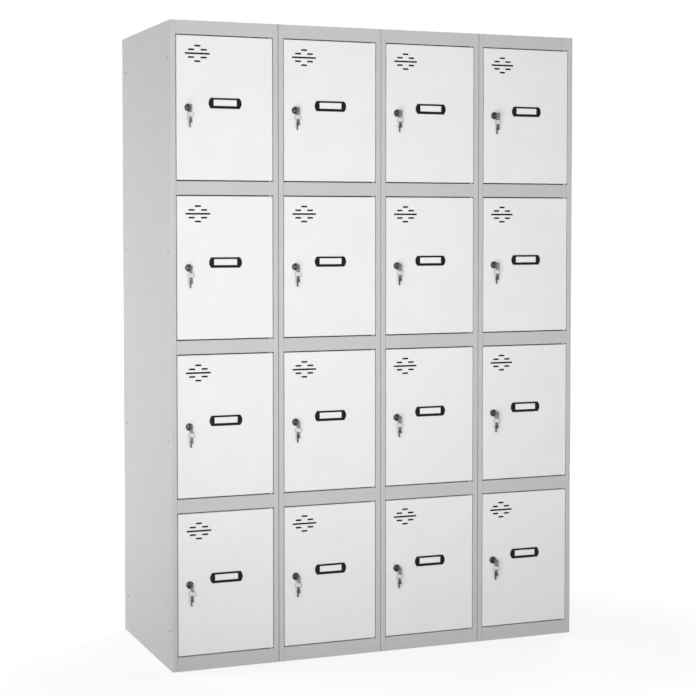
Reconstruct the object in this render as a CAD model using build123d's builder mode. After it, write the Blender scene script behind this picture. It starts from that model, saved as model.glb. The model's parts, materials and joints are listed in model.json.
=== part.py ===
from build123d import *
import os

# Locker cabinet: four folded steel column modules side by side, with four doors in each.
# Millimetres. +X runs right, +Y runs back, +Z up. The origin is on the floor under the
# middle of the cabinet's footprint, and the doors face -Y.
# Masters are drawn in a module's own frame (x from its left face, y from its front,
# z from the floor), a door's (its lower left front corner) or a lock's (its axis on
# the door's face), and copies are placed from COLUMN_LEFT and SILLS.

# ---- driving dimensions: body ----
HEIGHT = 1800.0
DEPTH = 540.0
MODULE_WIDTH = 312.0
ROWS = 4
COLUMNS = 4
SHEET = 1.0
BEND = 1.5               # outer radius of the stiles' bends
BEVEL = 1.0              # outer bevel of the rails' bends
STILE = 15.0             # width of the folded front edge of a wall
WIDE_RELIEF = 0.4        # how far a stile's outer edge stands back from its neighbour's
NARROW_RELIEF = 0.1
RELIEF_DEPTH = 12.0
RAIL = 38.0              # height of a shelf's front rail, and of the header
PLINTH = 40.0
HEADER_SETBACK = 1.5     # how far the header stands behind the stiles
STRIKE_FRONT = 17.0      # depth at which the latch-side stile turns into its strike flange
STRIKE = 8.0             # how far the strike flange reaches into the door opening
STILE_RETURN = 18.0      # depth of the hinge-side stile's return
STILE_LIP = 8.0
RAIL_RETURN = 16.0       # depth of the return under a rail
RAIL_LIP = 8.0
REAR_LIP = 15.0
SIDE_LIP = 12.0
FLANGE_START = 24.0      # the walls' head and foot flanges and the trays' side lips
FLANGE_END = 520.0
NOTCH_PLAY = 0.5
ROW_PITCH = (HEIGHT - PLINTH) / ROWS
BACK_FACE = DEPTH - 2 * SHEET

# joining holes near the front and rear edges of the outer walls
JOIN_RADIUS = 3.5
JOIN_FRONT = 30.0
JOIN_REAR = 502.0
JOIN_FIRST = 109.0
JOIN_PITCH = 529.5
JOIN_COUNT = 4

# ---- driving dimensions: doors ----
SIDE_GAP = 2.0
END_GAP = 3.0
DOOR_WIDTH = MODULE_WIDTH - 2 * STILE - 2 * SIDE_GAP
DOOR_HEIGHT = ROW_PITCH - RAIL - 2 * END_GAP
DOOR_DEPTH = 15.0
DOOR_BEVEL = 1.2
DOOR_LIP = 12.0
PIVOT_INSET = 6.0        # from the door's right edge to its pins
PIVOT_DEPTH = 5.5        # from the door's face back to its pins
PIN_RADIUS = 2.0
PIN_SIDES = 8            # pins and their holes are drawn with few faces, because there are 32 of each
PIN_REACH = 7.0
PIN_CLEARANCE = 0.05

# vent slots, in five rows round a centre near the door's upper left corner
VENT_INSET = 60.0
VENT_DROP = 49.0
VENT_PITCH = 10.6
VENT_SPREAD = 18.0
VENT_SHORT = 18.0
VENT_LONG = 72.0
VENT_HEIGHT = 4.8
VENT_CORNER = 1.4

# stiffening channel behind the door skin
CHANNEL_LEFT = 196.0
CHANNEL_WIDTH = 50.0
CHANNEL_FOOT = 12.0
CHANNEL_DEPTH = 12.0
CHANNEL_END = 24.0

# ---- driving dimensions: what is fitted to a door ----
LABEL_DROP = 184.0       # from the door's top to the holder's centre
LABEL_WIDTH = 83.0       # along the straight edges
LABEL_BULGE = 6.0        # how far each end bows out
LABEL_HEIGHT = 29.0
LABEL_THICK = 3.2
BULGE_STEPS = 4          # faces round each bowed end
WINDOW_WIDTH = 67.0
WINDOW_HEIGHT = 18.0
WINDOW_RISE = 1.2        # the bar under the window is the wider one
CARD_MARGIN = 2.0
CARD_POCKET = 1.0
CARD_THICK = 0.4
CARD_PLAY = 0.2
PAD_WIDTH = 7.0
PAD_HEIGHT = 12.0
PAD_THICK = 1.8
PAD_INSET = 3.0
PAD_END = 40.0

# ---- driving dimensions: cam lock, key, ring and spare key ----
LOCK_INSET = 33.0
LOCK_SIDES = 12          # faces round the collar and the plug
COLLAR_RADIUS = 10.5
COLLAR_FRONT = 5.5
BARREL_ACROSS = 16.0
BARREL_REACH = 18.2      # from the door's face to the barrel's rear end
PLUG_RADIUS = 6.0
PLUG_CLEARANCE = 0.08
CAM_GAP = 0.8
CAM_FRONT = BARREL_REACH + CAM_GAP
CAM_THICK = 2.0
CAM_WIDTH = 12.0
CAM_REACH = 36.0         # from the lock's axis to the cam's tip
CAM_CORNER = 3.0
SCREW_ACROSS = 8.0
SCREW_HEAD = 2.5
KEY_THICK = 2.0
BLADE_HEIGHT = 7.0
BLADE_IN = 14.0          # how far the blade reaches into the plug
BOW_START = 12.0         # from the door's face forward to the bow
BOW_END = 38.0
BOW_TOP = 7.5
BOW_BOTTOM = 14.0
BOW_CORNER = 5.0
HOLE_SIZE = 5.0
HOLE_OUT = 25.0          # from the door's face forward to the bow's hole
HOLE_DROP = 9.9          # from the lock's axis down to the bow's hole
RING_RADIUS = 9.2
RING_WIRE = 1.4
RING_SIDES = 8
RING_PLAY = 0.3
SPARE_TOP = 7.5          # the spare key's bow widens from its top to its foot
SPARE_FOOT = 16.0
SPARE_BOW = 17.0
SPARE_BLADE = 12.5
SPARE_BLADE_WIDTH = 5.8
SPARE_BLADE_SHIFT = 3.0  # the blade stands to the rear of the bow's middle
SPARE_HOLE_DROP = 4.2
SPARE_TURN = 18.0        # degrees the spare key has swung round on the ring

# ---- places ----
FRONT = -DEPTH / 2
COLUMN_LEFT = [MODULE_WIDTH * (column - COLUMNS / 2) for column in range(COLUMNS)]
SILLS = [PLINTH + ROW_PITCH * (ROWS - 1 - row) for row in range(ROWS)]    # top row first
PIVOT_X = MODULE_WIDTH - STILE - SIDE_GAP - PIVOT_INSET
LOCK_HEIGHT = DOOR_HEIGHT / 2


def stile_points(strike, relief):
    """The outer face of a wall's sheet in plan, from its rear flange round to the stile's end."""
    points = [
        (STILE, DEPTH),
        (0, DEPTH),
        (0, RELIEF_DEPTH),
        (relief, RELIEF_DEPTH - SHEET),
        (relief, 0),
        (STILE, 0),
    ]
    if strike:
        return points + [(STILE, STRIKE_FRONT), (STILE + STRIKE, STRIKE_FRONT)]
    return points + [(STILE, STILE_RETURN), (STILE - STILE_LIP, STILE_RETURN)]


def make_wall(strike, relief, holes=False):
    """A module's wall, web at x = 0: folded stile in front, flanges at the rear, foot and head."""
    with BuildPart() as wall:
        with BuildSketch():
            with BuildLine():
                Polyline(*stile_points(strike, relief))
                offset(amount=SHEET, side=Side.LEFT, kind=Kind.INTERSECTION)
            make_face()
        extrude(amount=HEIGHT)
        fillet(wall.edges().filter_by(Axis.Z).group_by(Axis.Y)[0], radius=BEND)
        for level in (0, HEIGHT - 2 * SHEET):
            with BuildSketch(Plane.XY.offset(level)):
                with Locations((0, FLANGE_START)):
                    Rectangle(STILE, FLANGE_END - FLANGE_START, align=Align.MIN)
            extrude(amount=SHEET)
        if holes:
            with BuildSketch(Plane.YZ):
                for step in range(JOIN_COUNT):
                    height = JOIN_FIRST + JOIN_PITCH * step
                    with Locations((JOIN_FRONT, height), (JOIN_REAR, height)):
                        Circle(JOIN_RADIUS)
            extrude(amount=SHEET, mode=Mode.SUBTRACT)
    return wall.part


def make_tray(bottom, top, setback=0.0, side_lips=True):
    """A deck with a front rail folded down and under, notched round the stiles, with lips and pin holes."""
    with BuildPart() as tray:
        with BuildSketch(Plane.YZ.offset(SHEET)):
            with BuildLine():
                Polyline(
                    (RAIL_RETURN, bottom + RAIL_LIP),
                    (RAIL_RETURN, bottom),
                    (setback, bottom),
                    (setback, top),
                    (BACK_FACE, top),
                    (BACK_FACE, top - REAR_LIP),
                )
                offset(amount=SHEET, side=Side.RIGHT, kind=Kind.INTERSECTION)
            make_face()
        extrude(amount=MODULE_WIDTH - 2 * SHEET)
        chamfer(tray.edges().filter_by(Axis.X).group_by(Axis.Y)[0], length=BEVEL)
        if side_lips:
            with BuildSketch(Plane.XY.offset(top - SIDE_LIP)):
                for edge in (SHEET, MODULE_WIDTH - 2 * SHEET):
                    with Locations((edge, FLANGE_START)):
                        Rectangle(SHEET, FLANGE_END - FLANGE_START, align=Align.MIN)
            extrude(amount=SIDE_LIP - SHEET)
        with BuildSketch(Plane.XY.offset(bottom)):
            for edge in (0, MODULE_WIDTH - STILE):
                with Locations((edge, 0)):
                    Rectangle(STILE, STILE_RETURN + NOTCH_PLAY, align=Align.MIN)
            with Locations((0, STRIKE_FRONT - NOTCH_PLAY)):
                Rectangle(STILE + STRIKE + NOTCH_PLAY, SHEET + 2 * NOTCH_PLAY, align=Align.MIN)
        extrude(amount=top - bottom, mode=Mode.SUBTRACT)
        sheets = []
        if bottom > 0:
            sheets.append(bottom)
        if top < HEIGHT:
            sheets.append(top - SHEET)
        for level in sheets:
            with BuildSketch(Plane.XY.offset(level)):
                with Locations((PIVOT_X, PIVOT_DEPTH)):
                    RegularPolygon(PIN_RADIUS + PIN_CLEARANCE, PIN_SIDES, major_radius=False)
            extrude(amount=SHEET, mode=Mode.SUBTRACT)
    return tray.part


def make_back():
    """The flat back sheet of a module, between its walls and against their rear flanges."""
    with BuildPart() as back:
        with BuildSketch():
            with Locations((SHEET, BACK_FACE)):
                Rectangle(MODULE_WIDTH - 2 * SHEET, SHEET, align=Align.MIN)
        extrude(amount=HEIGHT)
    return back.part


def make_door():
    """A folded pan with inner lips, vent slots, a stiffening channel, a lock hole and two pivot pins."""
    with BuildPart() as door:
        with BuildSketch():
            Rectangle(DOOR_WIDTH, DOOR_DEPTH, align=Align.MIN)
        extrude(amount=DOOR_HEIGHT)
        chamfer(door.faces().sort_by(Axis.Y)[0].edges(), length=DOOR_BEVEL)
        with BuildSketch(Plane.XZ.offset(-SHEET)):
            with Locations((SHEET, SHEET)):
                Rectangle(DOOR_WIDTH - 2 * SHEET, DOOR_HEIGHT - 2 * SHEET, align=Align.MIN)
        extrude(amount=2 * SHEET - DOOR_DEPTH, mode=Mode.SUBTRACT)
        with BuildSketch(Plane.XZ.offset(SHEET - DOOR_DEPTH)):
            with Locations((DOOR_LIP, DOOR_LIP)):
                Rectangle(DOOR_WIDTH - 2 * DOOR_LIP, DOOR_HEIGHT - 2 * DOOR_LIP, align=Align.MIN)
        extrude(amount=-SHEET, mode=Mode.SUBTRACT)
        with BuildSketch(Plane.XZ):
            with Locations((VENT_INSET, DOOR_HEIGHT - VENT_DROP)):
                Rectangle(VENT_LONG, VENT_HEIGHT)
                with GridLocations(2 * VENT_SPREAD, 2 * VENT_PITCH, 2, 2):
                    Rectangle(VENT_SHORT, VENT_HEIGHT)
                with GridLocations(0, 4 * VENT_PITCH, 1, 2):
                    Rectangle(VENT_SHORT, VENT_HEIGHT)
            chamfer(vertices(), length=VENT_CORNER)
            with Locations((LOCK_INSET, LOCK_HEIGHT)):
                RegularPolygon(BARREL_ACROSS / 2, 8, major_radius=False)
        extrude(amount=-SHEET, mode=Mode.SUBTRACT)
        with BuildSketch(Plane.XY.offset(CHANNEL_END)):
            with BuildLine():
                Polyline(
                    (CHANNEL_LEFT, SHEET),
                    (CHANNEL_LEFT + CHANNEL_FOOT, SHEET),
                    (CHANNEL_LEFT + CHANNEL_FOOT, CHANNEL_DEPTH),
                    (CHANNEL_LEFT + CHANNEL_WIDTH - CHANNEL_FOOT, CHANNEL_DEPTH),
                    (CHANNEL_LEFT + CHANNEL_WIDTH - CHANNEL_FOOT, SHEET),
                    (CHANNEL_LEFT + CHANNEL_WIDTH, SHEET),
                )
                offset(amount=SHEET, side=Side.LEFT, kind=Kind.INTERSECTION)
            make_face()
        extrude(amount=DOOR_HEIGHT - 2 * CHANNEL_END)
        for level in (-PIN_REACH, DOOR_HEIGHT):
            with BuildSketch(Plane.XY.offset(level)):
                with Locations((DOOR_WIDTH - PIVOT_INSET, PIVOT_DEPTH)):
                    RegularPolygon(PIN_RADIUS, PIN_SIDES)
            extrude(amount=PIN_REACH)
    return door.part


def make_label_frame():
    """A moulded label holder with bowed ends, a window and a pocket behind it for the card."""
    levels = [LABEL_HEIGHT * (step / BULGE_STEPS - 0.5) for step in range(BULGE_STEPS + 1)]
    right = [(LABEL_WIDTH / 2 + LABEL_BULGE * (1 - (2 * z / LABEL_HEIGHT) ** 2), z) for z in levels]
    left = [(-x, -z) for x, z in right]
    with BuildPart() as frame:
        with BuildSketch(Plane.XZ):
            with BuildLine():
                Polyline(*right, *left, close=True)
            make_face()
            with Locations((0, WINDOW_RISE)):
                Rectangle(WINDOW_WIDTH, WINDOW_HEIGHT, mode=Mode.SUBTRACT)
        extrude(amount=LABEL_THICK)
        with BuildSketch(Plane.XZ):
            with Locations((0, WINDOW_RISE)):
                Rectangle(WINDOW_WIDTH + 2 * CARD_MARGIN, WINDOW_HEIGHT + 2 * CARD_MARGIN)
        extrude(amount=CARD_POCKET, mode=Mode.SUBTRACT)
    return frame.part


def make_card():
    """The plain card that lies in the holder's pocket."""
    with BuildPart() as card:
        with BuildSketch(Plane.XZ.offset(CARD_POCKET - CARD_THICK)):
            with Locations((0, WINDOW_RISE)):
                Rectangle(
                    WINDOW_WIDTH + 2 * CARD_MARGIN - CARD_PLAY,
                    WINDOW_HEIGHT + 2 * CARD_MARGIN - CARD_PLAY,
                )
        extrude(amount=CARD_THICK)
    return card.part


def make_lock_case():
    """The fixed case of the lock: a collar in front of the door and a bored, flat-sided barrel behind."""
    with BuildPart() as case:
        with BuildSketch(Plane.XZ):
            RegularPolygon(COLLAR_RADIUS, LOCK_SIDES)
        extrude(amount=COLLAR_FRONT)
        with BuildSketch(Plane.XZ):
            RegularPolygon(BARREL_ACROSS / 2, 8, major_radius=False)
        extrude(amount=-BARREL_REACH)
        with BuildSketch(Plane.XZ.offset(COLLAR_FRONT)):
            RegularPolygon(PLUG_RADIUS + PLUG_CLEARANCE, LOCK_SIDES, major_radius=False)
        extrude(amount=-COLLAR_FRONT - BARREL_REACH, mode=Mode.SUBTRACT)
    return case.part


def make_pad():
    """A rubber pad behind the door's latch-side lip, where it shuts against the strike flange."""
    with BuildPart() as pad:
        with BuildSketch(Plane.XZ.offset(-DOOR_DEPTH)):
            Rectangle(PAD_WIDTH, PAD_HEIGHT, align=(Align.MIN, Align.CENTER))
        extrude(amount=-PAD_THICK)
    return pad.part


def make_plug():
    """The turning plug with its keyway, the cam hanging from its rear end and the cam's screw."""
    with BuildPart() as plug:
        with BuildSketch(Plane.XZ.offset(COLLAR_FRONT)):
            RegularPolygon(PLUG_RADIUS, LOCK_SIDES)
        extrude(amount=-COLLAR_FRONT - CAM_FRONT)
        with BuildSketch(Plane.XZ.offset(COLLAR_FRONT)):
            Rectangle(KEY_THICK, BLADE_HEIGHT)
        extrude(amount=-BLADE_IN, mode=Mode.SUBTRACT)
        with BuildSketch(Plane.XZ.offset(-CAM_FRONT)):
            with Locations((0, CAM_WIDTH / 2)):
                Rectangle(CAM_WIDTH, CAM_REACH + CAM_WIDTH / 2, align=(Align.CENTER, Align.MAX))
            chamfer(vertices(), length=CAM_CORNER)
        extrude(amount=-CAM_THICK)
        with BuildSketch(Plane.XZ.offset(-CAM_FRONT - CAM_THICK)):
            RegularPolygon(SCREW_ACROSS / 2, 6, major_radius=False)
        extrude(amount=-SCREW_HEAD)
    return plug.part


def make_key():
    """A flat key standing in the keyway: a bow with a hole near its lower edge, and a plain blade."""
    with BuildPart() as key:
        with BuildSketch(Plane.YZ.offset(-KEY_THICK / 2)):
            with Locations((-BOW_END, -BOW_BOTTOM)):
                Rectangle(BOW_END - BOW_START, BOW_TOP + BOW_BOTTOM, align=Align.MIN)
            chamfer(vertices(), length=BOW_CORNER)
            with Locations((-BOW_START, 0)):
                Rectangle(
                    BOW_START - COLLAR_FRONT + BLADE_IN,
                    BLADE_HEIGHT,
                    align=(Align.MIN, Align.CENTER),
                )
            with Locations((-HOLE_OUT, -HOLE_DROP)):
                Rectangle(HOLE_SIZE, HOLE_SIZE, mode=Mode.SUBTRACT)
        extrude(amount=KEY_THICK)
    return key.part


def make_ring():
    """The split ring that hangs from the key's bow, facing forward."""
    with BuildPart() as ring:
        with BuildSketch(Plane.XZ.offset(-RING_WIRE / 2)):
            RegularPolygon(RING_RADIUS + RING_WIRE / 2, RING_SIDES)
            RegularPolygon(RING_RADIUS - RING_WIRE / 2, RING_SIDES, mode=Mode.SUBTRACT)
        extrude(amount=RING_WIRE)
    return ring.part


def make_spare_key():
    """The spare key, blade down, its bow's hole at the origin: the bow is narrow above and wide below."""
    foot = SPARE_HOLE_DROP - SPARE_BOW
    with BuildPart() as spare:
        with BuildSketch(Plane.YZ.offset(-KEY_THICK / 2)):
            with BuildLine():
                Polyline(
                    (-SPARE_TOP / 2, SPARE_HOLE_DROP),
                    (SPARE_TOP / 2, SPARE_HOLE_DROP),
                    (SPARE_FOOT / 2, foot),
                    (-SPARE_FOOT / 2, foot),
                    close=True,
                )
            make_face()
            with Locations((SPARE_BLADE_SHIFT, foot)):
                Rectangle(SPARE_BLADE_WIDTH, SPARE_BLADE, align=(Align.CENTER, Align.MAX))
            Rectangle(HOLE_SIZE, HOLE_SIZE, mode=Mode.SUBTRACT)
        extrude(amount=KEY_THICK)
    return spare.part


def placed(piece, *places):
    """Copies of a piece at the given places, as one part of separate solids."""
    with BuildPart() as group:
        with Locations(*places):
            add(piece)
    return group.part


def save(piece, label):
    """Give a piece its name and write it to its own file."""
    piece.label = label
    export_step(piece, f"parts/{label}.step")


os.makedirs("parts", exist_ok=True)

# ---- walls: two outer sides, and three pairs standing back to back ----
outer_reliefs = (WIDE_RELIEF, WIDE_RELIEF, NARROW_RELIEF, WIDE_RELIEF, WIDE_RELIEF)
latch_walls = []
hinge_walls = []
for column, left in enumerate(COLUMN_LEFT):
    latch = make_wall(strike=True, relief=outer_reliefs[column], holes=column == 0)
    hinge = make_wall(strike=False, relief=outer_reliefs[column + 1], holes=column == COLUMNS - 1)
    latch_walls.append(placed(latch, (left, FRONT, 0)))
    hinge_walls.append(placed(mirror(hinge, about=Plane.YZ), (left + MODULE_WIDTH, FRONT, 0)))
save(latch_walls[0], "left_side")
save(hinge_walls[-1], "right_side")
for seam in range(1, COLUMNS):
    save(Compound(children=[hinge_walls[seam - 1], latch_walls[seam]]), f"partition_{seam}")

# ---- backs, tops, bases and shelves, one or three to a module ----
modules = [(left, FRONT, 0) for left in COLUMN_LEFT]
shelf_places = [(left, FRONT, ROW_PITCH * step) for left in COLUMN_LEFT for step in range(ROWS - 1)]
save(Compound(children=[placed(make_back(), place) for place in modules]), "backs")
base = make_tray(0, PLINTH)
save(Compound(children=[placed(base, place) for place in modules]), "bases")
top = make_tray(HEIGHT - RAIL, HEIGHT, HEADER_SETBACK, side_lips=False)
save(Compound(children=[placed(top, place) for place in modules]), "tops")
shelf = make_tray(SILLS[-2] - RAIL, SILLS[-2])
save(Compound(children=[placed(shelf, place) for place in shelf_places]), "shelves")

# ---- doors with their fittings and locks ----
door = make_door()
label_frame = placed(make_label_frame(), (DOOR_WIDTH / 2, 0, DOOR_HEIGHT - LABEL_DROP))
card = placed(make_card(), (DOOR_WIDTH / 2, 0, DOOR_HEIGHT - LABEL_DROP))
case = placed(make_lock_case(), (LOCK_INSET, 0, LOCK_HEIGHT))
pads = [placed(make_pad(), (PAD_INSET, 0, end)) for end in (PAD_END, DOOR_HEIGHT - PAD_END)]
fittings = [label_frame, card, case, *pads]
ring_drop = HOLE_DROP + HOLE_SIZE / 2 - RING_WIRE / 2 - RING_PLAY + RING_RADIUS
spare_drop = ring_drop + RING_RADIUS
spare_place = Location((LOCK_INSET, -HOLE_OUT, LOCK_HEIGHT - spare_drop), (0, 0, SPARE_TURN))
lock_pieces = [
    placed(make_plug(), (LOCK_INSET, 0, LOCK_HEIGHT)),
    placed(make_key(), (LOCK_INSET, 0, LOCK_HEIGHT)),
    placed(make_ring(), (LOCK_INSET, -HOLE_OUT, LOCK_HEIGHT - ring_drop)),
    placed(make_spare_key(), spare_place),
]
for row, sill in enumerate(SILLS, start=1):
    for column, left in enumerate(COLUMN_LEFT, start=1):
        place = (left + STILE + SIDE_GAP, FRONT, sill + END_GAP)
        name = f"r{row}c{column}"
        save(placed(door, place), f"door_{name}")
        save(Compound(children=[placed(piece, place) for piece in fittings]), f"fittings_{name}")
        save(Compound(children=[placed(piece, place) for piece in lock_pieces]), f"lock_{name}")
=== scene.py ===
# %% [markdown]
# # A steel locker cabinet
#
# The real cabinet is folded from 1 mm sheet steel, four column modules bolted side by side,
# with four flush doors in each. Every door carries a moulded label holder and a small cam lock
# whose key is left in it, with a ring and a spare key hanging from the key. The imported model
# already has the steelwork at its true size, so it is kept as it is and only painted. What is
# fitted to the doors is small and cast, turned, stamped or moulded, and that is modelled here.

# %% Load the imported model
import json
import math

import bmesh
import bpy
from mathutils import Matrix, Vector


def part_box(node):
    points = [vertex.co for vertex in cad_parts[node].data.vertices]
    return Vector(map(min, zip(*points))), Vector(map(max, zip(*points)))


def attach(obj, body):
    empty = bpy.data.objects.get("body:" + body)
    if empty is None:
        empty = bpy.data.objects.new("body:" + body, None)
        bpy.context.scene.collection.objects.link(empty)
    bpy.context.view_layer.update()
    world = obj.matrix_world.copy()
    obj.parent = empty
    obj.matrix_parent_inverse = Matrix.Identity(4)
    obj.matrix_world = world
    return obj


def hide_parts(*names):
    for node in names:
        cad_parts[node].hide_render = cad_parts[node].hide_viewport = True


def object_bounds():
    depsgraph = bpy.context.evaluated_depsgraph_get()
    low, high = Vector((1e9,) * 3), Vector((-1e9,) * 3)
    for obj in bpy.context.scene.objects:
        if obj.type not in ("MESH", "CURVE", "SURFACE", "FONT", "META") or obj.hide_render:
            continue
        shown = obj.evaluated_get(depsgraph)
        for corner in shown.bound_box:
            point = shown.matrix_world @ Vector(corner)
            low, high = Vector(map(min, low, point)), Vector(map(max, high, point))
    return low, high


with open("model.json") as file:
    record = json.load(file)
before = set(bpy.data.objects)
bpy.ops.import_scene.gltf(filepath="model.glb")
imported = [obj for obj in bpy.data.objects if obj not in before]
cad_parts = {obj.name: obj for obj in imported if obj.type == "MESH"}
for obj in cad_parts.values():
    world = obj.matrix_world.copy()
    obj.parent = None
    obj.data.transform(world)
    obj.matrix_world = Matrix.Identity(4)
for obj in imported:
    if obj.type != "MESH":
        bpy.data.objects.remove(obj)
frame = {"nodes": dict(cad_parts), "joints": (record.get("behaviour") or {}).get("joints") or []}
cad_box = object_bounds()

# %% [markdown]
# ## Where the doors are
#
# All sixteen doors are the same, so the pieces on them are modelled once, on the top left door,
# and copied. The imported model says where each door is. A door's box includes its pivot pins,
# which stand out of its top and bottom edges, and the lock's axis is the axis of its joint. The
# four modules share the cabinet's width equally.

# %% The doors' places
ROWS = 4
COLUMNS = 4
DOORS = [f"r{row}c{column}" for row in range(1, ROWS + 1) for column in range(1, COLUMNS + 1)]
MASTER = DOORS[0]
PIN_REACH = 0.007
MODULE = (cad_box[1][0] - cad_box[0][0]) / COLUMNS

joint_places = {joint["name"]: joint["pos_m"] for joint in frame["joints"]}
door_low, door_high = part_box(f"door_{MASTER}")
FACE_Y = door_low.y
DOOR_TOP = door_high.z - PIN_REACH
DOOR_BOTTOM = door_low.z + PIN_REACH
DOOR_MIDDLE_X = (door_low.x + door_high.x) / 2
LOCK_X = joint_places[f"turn_{MASTER}"][0]
LOCK_Z = joint_places[f"turn_{MASTER}"][2]
offsets = {name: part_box(f"door_{name}")[0] - door_low for name in DOORS}
print("door face", round(FACE_Y, 4), "lock axis", round(LOCK_X, 4), round(LOCK_Z, 4))

# %% [markdown]
# ## The camera
#
# It stands to the left of the cabinet, a little above its middle, and looks slightly down at
# it. The picture plane is shifted down a little, as a view camera's would be, which keeps the
# cabinet's upright edges nearly parallel.

# %% Camera
CAMERA_PLACE = (-1.848, -4.680, 1.239)
CAMERA_TURN = math.radians(21.6)
CAMERA_TILT = math.radians(2.25)
LENS_MM = 85.83
SENSOR_MM = 36
PICTURE_SHIFT = -0.083

camera_data = bpy.data.cameras.new("camera")
camera_data.lens = LENS_MM
camera_data.sensor_width = SENSOR_MM
camera_data.shift_y = PICTURE_SHIFT
camera = bpy.data.objects.new("camera", camera_data)
camera.location = CAMERA_PLACE
camera.rotation_euler = (math.pi / 2 - CAMERA_TILT, 0, -CAMERA_TURN)
bpy.context.scene.collection.objects.link(camera)
bpy.context.scene.camera = camera
bpy.context.scene.view_settings.view_transform = "Standard"
print("camera", CAMERA_PLACE)

# %% [markdown]
# ## Node helpers
#
# Every finish below is a small node tree. These helpers keep each tree short. They add a node
# with its settings, wire a noise pattern that is measured in millimetres on the piece, and turn
# a pattern into a gloss, a colour or a relief. A noise pattern keeps mostly near its middle, so
# only its middle part is spread out.

# %% Node helpers
GLOSS_PART = (0.3, 0.7)
COLOUR_PART = (0.35, 0.65)


def add_node(tree, kind, **settings):
    """A new node with some of its properties set."""
    node = tree.nodes.new(kind)
    for name, value in settings.items():
        setattr(node, name, value)
    return node


def new_finish(name):
    """A material with a Principled shader, and its tree and shader."""
    material = bpy.data.materials.new(name)
    material.use_nodes = True
    return material, material.node_tree, material.node_tree.nodes["Principled BSDF"]


def noise(tree, size_mm, detail=2.0, stretch=(1, 1, 1)):
    """A noise pattern on the piece's own coordinates, with features about size_mm across."""
    place = add_node(tree, "ShaderNodeTexCoord")
    scale = add_node(tree, "ShaderNodeMapping")
    scale.inputs["Scale"].default_value = [1000 / size_mm * s for s in stretch]
    pattern = add_node(tree, "ShaderNodeTexNoise")
    pattern.inputs["Scale"].default_value = 1.0
    pattern.inputs["Detail"].default_value = detail
    tree.links.new(place.outputs["Object"], scale.inputs["Vector"])
    tree.links.new(scale.outputs["Vector"], pattern.inputs["Vector"])
    return pattern.outputs["Fac"]


def remap(tree, value, low, high):
    """The middle of a noise pattern spread over low to high."""
    spread = add_node(tree, "ShaderNodeMapRange")
    spread.inputs["From Min"].default_value = GLOSS_PART[0]
    spread.inputs["From Max"].default_value = GLOSS_PART[1]
    spread.inputs["To Min"].default_value = low
    spread.inputs["To Max"].default_value = high
    tree.links.new(value, spread.inputs["Value"])
    return spread.outputs["Result"]


def tint(tree, value, dark, light):
    """A colour that runs from dark to light with a pattern."""
    ramp = add_node(tree, "ShaderNodeValToRGB")
    ramp.color_ramp.elements[0].position = COLOUR_PART[0]
    ramp.color_ramp.elements[1].position = COLOUR_PART[1]
    ramp.color_ramp.elements[0].color = (*dark, 1)
    ramp.color_ramp.elements[1].color = (*light, 1)
    tree.links.new(value, ramp.inputs["Fac"])
    return ramp.outputs["Color"]


def bump(tree, value, height_mm, below=None):
    """A relief of that height in millimetres, added to the relief below it."""
    relief = add_node(tree, "ShaderNodeBump")
    relief.inputs["Strength"].default_value = 1.0
    relief.inputs["Distance"].default_value = height_mm / 1000
    tree.links.new(value, relief.inputs["Height"])
    if below is not None:
        tree.links.new(below, relief.inputs["Normal"])
    return relief.outputs["Normal"]


def shades(colour, spread):
    """A darker and a lighter shade of a colour."""
    return [c * (1 - spread) for c in colour], [min(1.0, c * (1 + spread)) for c in colour]


def seen_directly(tree):
    """One where the camera or a mirror-like surface looks, and zero where only light goes."""
    rays = add_node(tree, "ShaderNodeLightPath")
    either = add_node(tree, "ShaderNodeMath", operation="MAXIMUM")
    tree.links.new(rays.outputs["Is Camera Ray"], either.inputs[0])
    tree.links.new(rays.outputs["Is Glossy Ray"], either.inputs[1])
    return either.outputs["Value"]


# %% [markdown]
# ## Powder coat
#
# Lockers are powder coated: a satin film with a fine orange peel, baked on sheet that is never
# perfectly flat. So the finish has three scales. A very broad, shallow relief bends reflections
# as thin sheet does, a fine relief of a millimetre or so is the orange peel, and the gloss
# varies a little in between. The colour itself hardly changes, except in the narrow joints
# between the modules, where shade is painted into it, so that they read as dark lines.

# %% Powder coat, grey for the body and off-white for the doors
SHEET_WAVE_MM = 160
SHEET_WAVE_HEIGHT_MM = 0.5
PEEL_MM = 1.3
PEEL_HEIGHT_MM = 0.012
MOTTLE_MM = 90
MOTTLE_SPREAD = 0.012
GLOSS_MM = 24
GLOSS_SWING = 0.04
# How wide and how dark the painted shade in the joints between the modules is.
JOINT_EDGE = 0.0009
JOINT_PAINTED_SHADE = 0.3


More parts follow.
